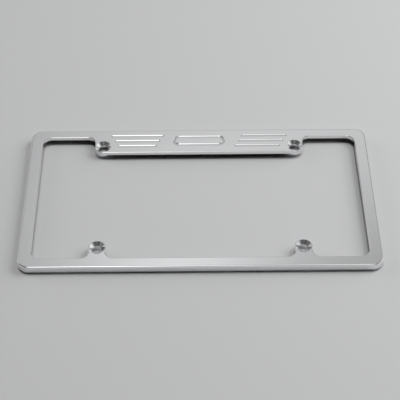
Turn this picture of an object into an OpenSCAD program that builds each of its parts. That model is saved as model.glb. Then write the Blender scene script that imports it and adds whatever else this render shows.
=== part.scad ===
// Number plate frame, milled from one slab of aluminium and polished.
// It lies on its back rim with the face up, and +Y points to the plate's top edge.
// The origin is on the surface that it lies on, under the middle of the outline.

/* [Outline] */
// Width over the outer walls
frame_w = 313; // [310:0.5:330]
// Height over the outer walls
frame_h = 163.45; // [160:0.05:180]
// Thickness from the back rim to the face
frame_t = 8; // [7:0.1:12]
// Radius of the outer corners
corner_r = 10; // [5:0.5:14]
// Round between the face and the outer wall
outer_round = 1.5; // [0.5:0.1:2.5]
// Round between the outer wall and the back rim
rim_round = 1; // [0.3:0.1:1.2]

/* [Window] */
// Width of the two side posts
post_w = 11.2; // [8:0.2:14]
// Width of the bar under the window
bottom_bar = 10.2; // [8:0.2:12]
// Width of the thin bar beside the banner
top_bar = 9.8; // [8:0.2:11]
// Radius of the window's corners
window_r = 8; // [4:0.5:14]
// Round between the face and the window's wall
inner_round = 1; // [0.3:0.1:1.1]

/* [Number plate] */
// Width of the number plate
plate_w = 304.8; // [300:0.1:305]
// Height of the number plate
plate_h = 152.4; // [150:0.1:154]
// Gap between the plate's edge and the rim round it
plate_gap = 0.5; // [0.2:0.1:1]
// Radius of the recess's corners
recess_r = 6.35; // [3:0.05:12]
// Thickness of the face in front of the plate
face_t = 3.2; // [2.4:0.1:4]

/* [Screw holes] */
// Distance between the holes along the width
hole_dx = 177.8; // [170:0.1:190]
// Distance between the holes along the height
hole_dy = 120.65; // [118:0.05:123]
// Diameter of the clearance holes
bore_d = 8; // [5:0.1:9]
// Diameter of the countersinks at the face
sink_d = 13.7; // [11:0.1:14]
// Angle of the countersinks
sink_angle = 90; // [80:1:100]
// Radius of the ears and bosses round the holes
ear_r = 8; // [7.8:0.1:9]
// Thickness from the face to the back of the bosses
boss_t = 4.8; // [4.6:0.1:6]
// Radius of the hollow curves where ears and banner meet the bars
hollow_r = 7; // [4:0.5:8]

/* [Milled lines] */
// Radius of the ball cutter
ball_r = 2; // [1.2:0.1:3]
// Depth of the lines in the face
line_depth = 0.6; // [0.3:0.05:0.9]
// Lines on each side of the banner
line_count = 3; // [1:1:3]
// Distance from line to line
line_pitch = 6.5; // [5:0.1:7]
// Where the middle line ends, from the banner's middle towards the hole
line_outer = 77.5; // [60:0.5:79]
// Where the middle line ends, from the banner's middle at the inner side
line_inner = 37.5; // [34:0.5:50]
// How much shorter each lower line is at its outer end
line_taper = 3.5; // [0:0.1:4]
// How far each lower line's inner end lies to the left
line_slant = 3.4; // [0:0.1:4]
// Length of the round-ended outline in the banner's middle
pill_l = 46; // [30:0.5:50]
// Width of the round-ended outline, between its lines' middles
pill_w = 10; // [6:0.5:12]

/* [Hidden] */
$fn = 96;

// Overshoot of a cut past the surface that it opens
over = 1;
// Overlap of two shapes that are joined
lap = 1;

right_x = frame_w / 2;
top_y = frame_h / 2;
recess_w = plate_w + 2 * plate_gap;
recess_h = plate_h + 2 * plate_gap;

window_x = right_x - post_w;
window_top = top_y - top_bar;
window_low = bottom_bar - top_y;

hole_x = hole_dx / 2;
hole_y = hole_dy / 2;
banner_x = hole_x + ear_r;
banner_low = hole_y - ear_r;
banner_mid = (top_y + banner_low) / 2;

// The hollow beside a lower ear touches the ear's circle and the bar's edge
hollow_y = window_low + hollow_r;
hollow_rise = hollow_y + hole_y;
hollow_dx = sqrt(pow(ear_r + hollow_r, 2) - pow(hollow_rise, 2));
hollow_angle = atan2(hollow_rise, hollow_dx);
hollow_meet = ear_r * hollow_rise / (ear_r + hollow_r) - hole_y;

sink_depth = (sink_d - bore_d) / 2 / tan(sink_angle / 2);
line_z = frame_t - line_depth + ball_r;

// Straight and curved edges round the right half of the window, with the part on their right.
// An arc is its centre, its radius, its first and last angle, and whether the part is inside it.
window_lines = [
    [[0, window_low], [hole_x - hollow_dx, window_low]],
    [[hole_x + hollow_dx, window_low], [window_x - window_r, window_low]],
    [[window_x, window_low + window_r], [window_x, window_top - window_r]],
    [[window_x - window_r, window_top], [banner_x + hollow_r, window_top]],
    [[banner_x, window_top - hollow_r], [banner_x, hole_y]],
    [[hole_x, banner_low], [0, banner_low]],
];
window_arcs = [
    [[hole_x - hollow_dx, hollow_y], hollow_r, 270, 360 - hollow_angle, false],
    [[hole_x, -hole_y], ear_r, hollow_angle, 180 - hollow_angle, true],
    [[hole_x + hollow_dx, hollow_y], hollow_r, 180 + hollow_angle, 270, false],
    [[window_x - window_r, window_low + window_r], window_r, 270, 360, false],
    [[window_x - window_r, window_top - window_r], window_r, 0, 90, false],
    [[banner_x + hollow_r, window_top - hollow_r], hollow_r, 90, 180, false],
    [[hole_x, hole_y], ear_r, 270, 360, true],
];

// Edges round the right half of the outline, with the part on their right
outer_lines = [
    [[0, top_y], [right_x - corner_r, top_y]],
    [[right_x, top_y - corner_r], [right_x, corner_r - top_y]],
    [[right_x - corner_r, -top_y], [0, -top_y]],
];
outer_arcs = [
    [[right_x - corner_r, top_y - corner_r], corner_r, 0, 90, true],
    [[right_x - corner_r, corner_r - top_y], corner_r, 270, 360, true],
];

module both_sides() {
    children();
    mirror([1, 0, 0]) children();
}

module rounded_rectangle(w, h, r) {
    square([w - 2 * r, h], center = true);
    square([w, h - 2 * r], center = true);
    for (x = [-1, 1], y = [-1, 1]) {
        translate([x * (w / 2 - r), y * (h / 2 - r)]) circle(r);
    }
}

// Ear round a lower hole, with the hollow curves that carry it into the bar
module ear() {
    foot_h = hollow_meet - window_low;
    translate([hole_x, -hole_y]) circle(ear_r);
    difference() {
        translate([hole_x - hollow_dx, window_low - lap]) square([2 * hollow_dx, foot_h + lap]);
        for (side = [-1, 1]) {
            translate([hole_x + side * hollow_dx, hollow_y]) circle(hollow_r);
        }
    }
}

// Half of the banner, which ends in a round corner about the hole
module half_banner() {
    translate([-lap, banner_low]) square([hole_x + lap, window_top + lap - banner_low]);
    translate([-lap, hole_y]) square([banner_x + lap, window_top + lap - hole_y]);
    translate([hole_x, hole_y]) circle(ear_r);
    difference() {
        translate([banner_x - lap, window_top - hollow_r]) square(hollow_r + lap);
        translate([banner_x + hollow_r, window_top - hollow_r]) circle(hollow_r);
    }
}

module face_shape() {
    difference() {
        rounded_rectangle(frame_w, frame_h, corner_r);
        translate([0, (window_top + window_low) / 2])
            rounded_rectangle(2 * window_x, window_top - window_low, window_r);
    }
    both_sides() {
        ear();
        half_banner();
    }
}

// Rim that stands behind the face, round the plate's edge
module rim() {
    linear_extrude(frame_t - face_t + lap) difference() {
        rounded_rectangle(frame_w, frame_h, corner_r);
        rounded_rectangle(recess_w, recess_h, recess_r);
    }
}

// Bosses that the plate seats on, which give the countersinks their depth
module bosses() {
    for (x = [-1, 1], y = [-1, 1]) {
        translate([x * hole_x, y * hole_y, frame_t - boss_t]) cylinder(r = ear_r, h = boss_t);
    }
}

// Section that a round of radius r takes off, where the wall is x = 0 and the face is y = 0
module round_section(r) {
    difference() {
        translate([-r, -r]) square(r + over);
        translate([-r, -r]) circle(r);
    }
}

// Takes the round off the right and left half's edges, which lie on z = 0 with the part below
module edge_rounds(lines, arcs, r) {
    both_sides() {
        for (line = lines) {
            run = line[1] - line[0];
            translate(line[0]) rotate([90, 0, atan2(run.y, run.x) + 90])
                linear_extrude(norm(run)) round_section(r);
        }
        for (arc = arcs) {
            translate(arc[0]) rotate(arc[2]) rotate_extrude(angle = arc[3] - arc[2])
                translate([arc[1], 0]) mirror([arc[4] ? 0 : 1, 0]) round_section(r);
        }
    }
}

module screw_hole() {
    rotate_extrude() polygon([
        [0, over],
        [sink_d / 2 + over * tan(sink_angle / 2), over],
        [bore_d / 2, -sink_depth],
        [bore_d / 2, -boss_t - over],
        [0, -boss_t - over],
    ]);
}

// Path of the ball cutter between two places on the face
module milled_line(from_x, to_x, y) {
    translate([from_x, y, line_z]) rotate([0, 90, 0]) cylinder(r = ball_r, h = to_x - from_x);
    for (x = [from_x, to_x]) {
        translate([x, y, line_z]) sphere(ball_r);
    }
}

module milled_pill() {
    reach = (pill_l - pill_w) / 2;
    for (side = [-1, 1]) {
        translate([-reach, banner_mid + side * pill_w / 2, line_z]) rotate([0, 90, 0])
            cylinder(r = ball_r, h = 2 * reach);
        translate([side * reach, banner_mid, line_z]) rotate(-side * 90)
            rotate_extrude(angle = 180) translate([pill_w / 2, 0]) circle(ball_r);
    }
}

// Lines that shorten towards the window at their outer ends, and slant at their inner ends
module banner_lines() {
    for (i = [0 : line_count - 1]) {
        step = i - (line_count - 1) / 2;
        y = banner_mid - step * line_pitch;
        outer_end = line_outer - step * line_taper;
        slant = step * line_slant;
        milled_line(-outer_end, -line_inner - slant, y);
        milled_line(line_inner - slant, outer_end, y);
    }
    milled_pill();
}

module plate_frame() {
    color([0.82, 0.83, 0.84]) difference() {
        union() {
            translate([0, 0, frame_t - face_t]) linear_extrude(face_t) face_shape();
            rim();
            bosses();
        }
        translate([0, 0, frame_t]) edge_rounds(outer_lines, outer_arcs, outer_round);
        translate([0, 0, frame_t]) edge_rounds(window_lines, window_arcs, inner_round);
        mirror([0, 0, 1]) edge_rounds(outer_lines, outer_arcs, rim_round);
        for (x = [-1, 1], y = [-1, 1]) {
            translate([x * hole_x, y * hole_y, frame_t]) screw_hole();
        }
        banner_lines();
    }
}

plate_frame();
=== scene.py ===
import math

import bpy
from mathutils import Matrix, Vector


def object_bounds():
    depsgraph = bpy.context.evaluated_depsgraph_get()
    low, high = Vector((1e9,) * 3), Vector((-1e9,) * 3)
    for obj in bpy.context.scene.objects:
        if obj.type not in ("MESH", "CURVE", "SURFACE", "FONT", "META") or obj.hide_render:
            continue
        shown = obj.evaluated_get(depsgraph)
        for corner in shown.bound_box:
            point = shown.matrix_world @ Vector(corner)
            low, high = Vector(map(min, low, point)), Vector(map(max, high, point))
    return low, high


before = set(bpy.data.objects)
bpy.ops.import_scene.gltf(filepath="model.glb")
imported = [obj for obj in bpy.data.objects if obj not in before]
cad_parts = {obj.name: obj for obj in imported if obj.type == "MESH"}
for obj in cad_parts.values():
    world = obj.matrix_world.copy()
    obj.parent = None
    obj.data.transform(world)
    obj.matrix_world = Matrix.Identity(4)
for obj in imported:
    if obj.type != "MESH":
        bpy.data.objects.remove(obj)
CAD_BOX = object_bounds()

# Camera, fitted to the four screw holes and the outline's edges. Metres and degrees.
CAMERA_PLACE = (-0.00696, -0.65441, 0.74463)
CAMERA_ELEVATION = 48.685
CAMERA_AZIMUTH = -0.632
CAMERA_ROLL = 0.014
SENSOR_WIDTH = 36.0
FOCAL_PIXELS = 1100.1
PICTURE_PIXELS = 400

# Aluminium, polished on its outside, and left as milled behind the face and on the rim's lower round,
# where its colour is darkened with painted shade
POLISHED_COLOUR = (0.87, 0.875, 0.885, 1.0)
POLISHED_ROUGHNESS = (0.05, 0.08)
# Painted shade: the dark grey behind the face and on the rim's lower round stands in for the shade in
# the gaps under the face and the contact shadow at the table
PAINTED_SHADE_COLOUR = (0.30, 0.302, 0.306, 1.0)
MILLED_ROUGHNESS = 0.38
# The rim's width at the left and right and at the top and bottom
RIM_WIDTH = (0.0036, 0.005025)
# Heights above the table of the face's back and of the rim's lower round
FACE_BACK = 0.0048
RIM_ROUND = 0.001
# Distances of each hole from the middle, along the width and the height, and the boss's radius
HOLE = (0.0889, 0.060325, 0.0)
BOSS_RADIUS = 0.008
FINISH_MARGIN = 0.00002
# Cloudy patches in the polish, and its fine lines along the width, as noise scales per metre
PATCH_SCALE = 38.0
LINE_SCALE = (260.0, 2600.0, 2600.0)
LINE_DEPTH = 0.0001
LINE_STRENGTH = 0.05

# Table top
FLOOR_COLOUR = (0.55, 0.553, 0.558, 1.0)
FLOOR_ROUGHNESS = 0.75
FLOOR_SPECULAR = 0.2
FLOOR_SIZE = 12.0


def unit(azimuth, elevation):
    """Direction from the part, with azimuth counted from +Y towards +X, both in degrees."""
    a, e = math.radians(azimuth), math.radians(elevation)
    return Vector((math.sin(a) * math.cos(e), math.cos(a) * math.cos(e), math.sin(e)))


def make_camera():
    """Camera that looks down at the part from the front."""
    e, a, roll = (math.radians(v) for v in (CAMERA_ELEVATION, CAMERA_AZIMUTH, CAMERA_ROLL))
    right = Vector((math.cos(a), math.sin(a), 0))
    back = Vector((math.sin(a) * math.cos(e), -math.cos(a) * math.cos(e), math.sin(e)))
    up = back.cross(right)
    x_axis = right * math.cos(roll) + up * math.sin(roll)
    y_axis = up * math.cos(roll) - right * math.sin(roll)
    data = bpy.data.cameras.new("camera")
    data.sensor_width = SENSOR_WIDTH
    data.lens = FOCAL_PIXELS / PICTURE_PIXELS * SENSOR_WIDTH
    data.clip_start = 0.01
    data.clip_end = 50
    camera = bpy.data.objects.new("camera", data)
    turn = Matrix((x_axis, y_axis, back)).transposed().to_4x4()
    camera.matrix_world = Matrix.Translation(CAMERA_PLACE) @ turn
    bpy.context.scene.collection.objects.link(camera)
    bpy.context.scene.camera = camera


def new_material(name):
    """Material with a new node tree, and that tree's main shader."""
    material = bpy.data.materials.new(name)
    material.use_nodes = True
    tree = material.node_tree
    shader = next(n for n in tree.nodes if n.type == "BSDF_PRINCIPLED")
    return material, tree, shader


def add_node(tree, kind, **inputs):
    """Shader node with the given values in the inputs of those names."""
    node = tree.nodes.new(kind)
    for name, value in inputs.items():
        node.inputs[name].default_value = value
    return node


def math_node(tree, operation, *values):
    """Arithmetic node whose inputs are numbers or other nodes' outputs."""
    node = tree.nodes.new("ShaderNodeMath")
    node.operation = operation
    for socket, value in zip(node.inputs, values):
        if isinstance(value, float):
            socket.default_value = value
        else:
            tree.links.new(value, socket)
    return node.outputs[0]


def beside_bosses(tree, distances):
    """One past the radius of the bosses, which keep their polish and get no painted shade, and zero
    within it.
    """
    quarter = tree.nodes.new("ShaderNodeCombineXYZ")
    for socket, distance in zip(quarter.inputs, distances):
        tree.links.new(distance, socket)
    span = tree.nodes.new("ShaderNodeVectorMath")
    span.operation = "DISTANCE"
    span.inputs[1].default_value = HOLE
    tree.links.new(quarter.outputs[0], span.inputs[0])
    return math_node(tree, "GREATER_THAN", span.outputs["Value"], BOSS_RADIUS + FINISH_MARGIN)


def milled_and_shaded_part(tree, place):
    """One on the surfaces behind the face and on the rim's lower round, which are rougher and get
    painted shade, and zero elsewhere.
    """
    split = tree.nodes.new("ShaderNodeSeparateXYZ")
    tree.links.new(place.outputs["Object"], split.inputs[0])
    height = split.outputs["Z"]
    distances = [math_node(tree, "ABSOLUTE", split.outputs[axis]) for axis in "XY"]
    milled_and_shade = math_node(tree, "LESS_THAN", height, FACE_BACK + FINISH_MARGIN)
    for distance, outer, rim in zip(distances, CAD_BOX[1], RIM_WIDTH):
        inside_rim = math_node(tree, "LESS_THAN", distance, outer - rim + FINISH_MARGIN)
        milled_and_shade = math_node(tree, "MULTIPLY", milled_and_shade, inside_rim)
    milled_and_shade = math_node(tree, "MULTIPLY", milled_and_shade, beside_bosses(tree, distances))
    # The rim's lower round at the table gets the same painted shade, which stands in for the contact
    # shadow
    on_rim = math_node(tree, "LESS_THAN", height, RIM_ROUND)
    return math_node(tree, "MAXIMUM", milled_and_shade, on_rim)


def colour_with_painted_shade(tree, milled_and_shade):
    """Polished colour where the mask is zero, and the dark colour of painted shade where it is one."""
    ramp = tree.nodes.new("ShaderNodeValToRGB")
    ramp.color_ramp.elements[0].color = POLISHED_COLOUR
    ramp.color_ramp.elements[1].color = PAINTED_SHADE_COLOUR
    tree.links.new(milled_and_shade, ramp.inputs["Fac"])
    return ramp.outputs["Color"]


def finish_roughness(tree, place, milled_and_shade):
    """Slightly cloudy polish, and much rougher where the mask of the unpolished surfaces is one."""
    cloud = add_node(tree, "ShaderNodeTexNoise", Scale=PATCH_SCALE, Detail=4.0)
    tree.links.new(place.outputs["Object"], cloud.inputs["Vector"])
    polish = tree.nodes.new("ShaderNodeMapRange")
    polish.inputs["From Min"].default_value = 0.3
    polish.inputs["From Max"].default_value = 0.7
    polish.inputs["To Min"].default_value = POLISHED_ROUGHNESS[0]
    polish.inputs["To Max"].default_value = POLISHED_ROUGHNESS[1]
    tree.links.new(cloud.outputs["Fac"], polish.inputs["Value"])
    return math_node(tree, "MULTIPLY_ADD", milled_and_shade, MILLED_ROUGHNESS, polish.outputs["Result"])


def polish_lines(tree, place):
    """Normal with the fine lines that polishing leaves along the width."""
    stretch = add_node(tree, "ShaderNodeMapping", Scale=LINE_SCALE)
    tree.links.new(place.outputs["Object"], stretch.inputs["Vector"])
    lines = add_node(tree, "ShaderNodeTexNoise", Scale=1.0, Detail=3.0)
    tree.links.new(stretch.outputs["Vector"], lines.inputs["Vector"])
    bump = add_node(tree, "ShaderNodeBump", Strength=LINE_STRENGTH, Distance=LINE_DEPTH)
    tree.links.new(lines.outputs["Fac"], bump.inputs["Height"])
    return bump.outputs["Normal"]


def metal_material():
    material, tree, shader = new_material("polished_aluminium")
    shader.inputs["Metallic"].default_value = 1.0
    place = tree.nodes.new("ShaderNodeTexCoord")
    # Rougher as milled behind the face and on the rim's lower round, and darkened there with painted
    # shade
    milled_and_shade = milled_and_shaded_part(tree, place)
    tree.links.new(colour_with_painted_shade(tree, milled_and_shade), shader.inputs["Base Color"])
    tree.links.new(finish_roughness(tree, place, milled_and_shade), shader.inputs["Roughness"])
    tree.links.new(polish_lines(tree, place), shader.inputs["Normal"])
    return material


def floor_material():
    material, _, shader = new_material("table_top")
    shader.inputs["Base Color"].default_value = FLOOR_COLOUR
    shader.inputs["Roughness"].default_value = FLOOR_ROUGHNESS
    shader.inputs["Specular IOR Level"].default_value = FLOOR_SPECULAR
    return material


def make_floor():
    half = FLOOR_SIZE / 2
    corners = [(-half, -half, 0), (half, -half, 0), (half, half, 0), (-half, half, 0)]
    mesh = bpy.data.meshes.new("table_top")
    mesh.from_pydata(corners, [], [(0, 1, 2, 3)])
    mesh.materials.append(floor_material())
    floor = bpy.data.objects.new("table_top", mesh)
    bpy.context.scene.collection.objects.link(floor)


def add_lamp(name, data, azimuth, elevation, distance):
    """Lamp that points at the part and that the metal doesn't mirror."""
    lamp = bpy.data.objects.new(name, data)
    direction = unit(azimuth, elevation)
    lamp.location = direction * distance
    lamp.rotation_euler = direction.to_track_quat("Z", "Y").to_euler()
    lamp.visible_glossy = False
    bpy.context.scene.collection.objects.link(lamp)


def area_light(name, azimuth, elevation, distance, width, height, watts):
    """Soft lamp of the given size in metres, near the table."""
    data = bpy.data.lights.new(name, "AREA")
    data.shape = "RECTANGLE"
    data.size = width
    data.size_y = height
    data.energy = watts
    add_lamp(name, data, azimuth, elevation, distance)


def wide_light(name, azimuth, elevation, spread, strength):
    """Far soft lamp that lights the whole table alike, and looks as many degrees wide as its spread."""
    data = bpy.data.lights.new(name, "SUN")
    data.angle = math.radians(spread)
    data.energy = strength
    add_lamp(name, data, azimuth, elevation, FAR)


# Soft glows of the room that the metal mirrors. Each is its azimuth and elevation in degrees, how narrow
# it is, and its strength. A strength below zero is a dark patch.
GLOWS = [
    # Wall behind the table, which the face mirrors
    (0.0, 50.0, 6.0, 0.08),
    (7.0, 44.0, 40.0, 0.18),
    (-8.0, 46.5, 200.0, 0.20),
    (-1.0, 53.0, 220.0, 0.50),
    (4.0, 45.0, 200.0, 0.20),
    (15.0, 44.0, 150.0, 0.30),
    (14.0, 52.0, 200.0, 0.05),
    (-15.0, 52.0, 200.0, 0.09),
    (-45.0, 50.0, 14.0, 0.30),
    # Low on the wall behind the table
    (-7.0, 24.0, 30.0, 0.62),
    (12.0, 22.0, 20.0, 0.20),
    (0.0, 5.0, 20.0, -0.35),
    # Sides
    (60.0, 28.0, 20.0, 1.05),
    (-60.0, 28.0, 20.0, 0.7),
    (90.0, 28.0, 20.0, 0.9),
    (90.0, 72.0, 20.0, 0.5),
    # Ceiling, and bright spots above the camera that the front edge and the milled lines mirror
    (0.0, 70.0, 40.0, 0.5),
    (-158.0, 69.0, 70.0, 3.8),
    (-172.0, 62.0, 150.0, 2.0),
    (161.0, 64.0, 300.0, 2.5),
    (145.0, 64.0, 120.0, 1.5),
    # Room behind the camera and at its sides
    (160.0, 22.0, 90.0, 1.2),
    (125.0, 12.0, 20.0, 0.80),
    (-125.0, 12.0, 20.0, 0.55),
    (180.0, 9.0, 70.0, 0.85),
    (180.0, 52.0, 40.0, 0.30),
    (180.0, 31.0, 22.0, -0.035),
]
# Level of the whole room, and of the pale band along its horizon
ROOM_LEVEL = 0.075
HORIZON_LEVEL = 0.62
HORIZON_NARROW = 20.0
BACKGROUND = (0.60, 0.605, 0.615, 1.0)
# Where the far lamps' own objects stand, which has no effect on their light
FAR = 3.0


def horizon_band(tree, direction):
    """One at the horizon, falling off softly above and below it."""
    split = tree.nodes.new("ShaderNodeSeparateXYZ")
    tree.links.new(direction, split.inputs[0])
    height = math_node(tree, "POWER", split.outputs["Z"], 2.0)
    fall = math_node(tree, "MULTIPLY", height, -HORIZON_NARROW)
    return math_node(tree, "EXPONENT", fall)


def glow(tree, direction, azimuth, elevation, narrow):
    """One in the glow's middle, falling off softly round it."""
    dot = tree.nodes.new("ShaderNodeVectorMath")
    dot.operation = "DOT_PRODUCT"
    dot.inputs[1].default_value = unit(azimuth, elevation)
    tree.links.new(direction, dot.inputs[0])
    fall = math_node(tree, "MULTIPLY_ADD", dot.outputs["Value"], narrow, -narrow)
    return math_node(tree, "EXPONENT", fall)


def room_level(tree):
    """Level of the room in each direction, from its plain level, its horizon and its glows."""
    direction = tree.nodes.new("ShaderNodeTexCoord").outputs["Generated"]
    total = math_node(tree, "MULTIPLY_ADD", horizon_band(tree, direction), HORIZON_LEVEL, ROOM_LEVEL)
    for azimuth, elevation, narrow, strength in GLOWS:
        spot = glow(tree, direction, azimuth, elevation, narrow)
        total = math_node(tree, "MULTIPLY_ADD", spot, strength, total)
    return math_node(tree, "MAXIMUM", total, 0.0)


def make_world():
    """Room that only the metal mirrors, with a plain background behind the table."""
    world = bpy.data.worlds.new("room")
    bpy.context.scene.world = world
    world.use_nodes = True
    tree = world.node_tree
    tree.nodes.clear()
    path = tree.nodes.new("ShaderNodeLightPath")
    room = tree.nodes.new("ShaderNodeBackground")
    mirrored = math_node(tree, "MULTIPLY", room_level(tree), path.outputs["Is Glossy Ray"])
    tree.links.new(mirrored, room.inputs["Strength"])
    seen = tree.nodes.new("ShaderNodeBackground")
    seen.inputs["Color"].default_value = BACKGROUND
    mix = tree.nodes.new("ShaderNodeMixShader")
    tree.links.new(path.outputs["Is Camera Ray"], mix.inputs[0])
    tree.links.new(room.outputs[0], mix.inputs[1])
    tree.links.new(seen.outputs[0], mix.inputs[2])
    out = tree.nodes.new("ShaderNodeOutputWorld")
    tree.links.new(mix.outputs[0], out.inputs["Surface"])


def make_lights():
    """Two near lamps on the right, a small one behind, and three far ones."""
    wide_light("overhead", 0.0, 78.0, 14.0, 1.23)
    area_light("key", 60.0, 50.0, 1.5, 0.62, 0.62, 8.4)
    area_light("right_low", 90.0, 32.0, 1.5, 0.38, 0.38, 3.2)
    area_light("left_back", -45.0, 60.0, 1.2, 0.3, 0.3, 0.7)
    wide_light("right_sky", 60.0, 17.0, 36.0, 1.0)
    wide_light("left_sky", -60.0, 17.0, 36.0, 0.85)


make_camera()
make_floor()
make_world()
make_lights()
bpy.context.scene.view_settings.view_transform = "Standard"

plate_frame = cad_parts["plate_frame"]
plate_frame.data.materials.clear()
plate_frame.data.materials.append(metal_material())
